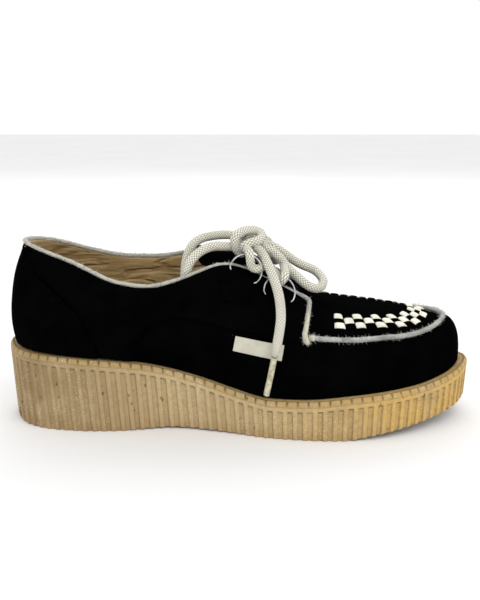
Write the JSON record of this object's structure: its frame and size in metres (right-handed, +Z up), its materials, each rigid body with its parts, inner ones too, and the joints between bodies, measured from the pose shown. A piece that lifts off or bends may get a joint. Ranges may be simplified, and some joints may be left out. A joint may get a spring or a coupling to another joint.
{
  "type": "creeper shoe",
  "caption": "Right-foot creeper shoe with a thick ribbed wedge platform, beaded welt, hollow suede upper with interlaced apron, D-ring lacing and a tied bow.",
  "frame": {"origin": "on the ground under the middle of the shoe's length and width, measured on the platform", "axes": "+X from heel to toe, +Y to the inner side of the foot, +Z up"},
  "size_m": [0.275, 0.1031, 0.1112],
  "materials": {
    "gum": "matte tan crepe-like rubber",
    "welt": "matte tan rubber strip",
    "insole": "worn brown leather",
    "suede": "black suede",
    "piping": "grey-white raw edge",
    "strips": "cream leather strips",
    "wire": "bright wire",
    "patch": "bare white woven patch",
    "lace": "cream round braid",
    "lace_tip": "film-wrapped lace end"
  },
  "bodies": {
    "root": {"sole": "gum", "welt": "welt", "insole": "insole", "upper": "suede", "quarter_outer": "suede", "quarter_inner": "suede", "counter": "suede", "tongue": "suede", "collar_piping": "piping", "apron_piping": "piping", "interlace": "strips", "ring_a_outer": "wire", "ring_b_outer": "wire", "ring_a_inner": "wire", "ring_b_inner": "wire", "tab_a_outer": "suede", "tab_b_outer": "suede", "tab_a_inner": "suede", "tab_b_inner": "suede", "side_label": "patch", "lace_crossings": "lace", "lace_knot": "lace", "lace_loop_heel": "lace", "lace_loop_toe": "lace", "lace_end_outer": "lace", "lace_end_inner": "lace", "lace_tip_outer": "lace_tip", "lace_tip_inner": "lace_tip"}
  },
  "joints": []
}
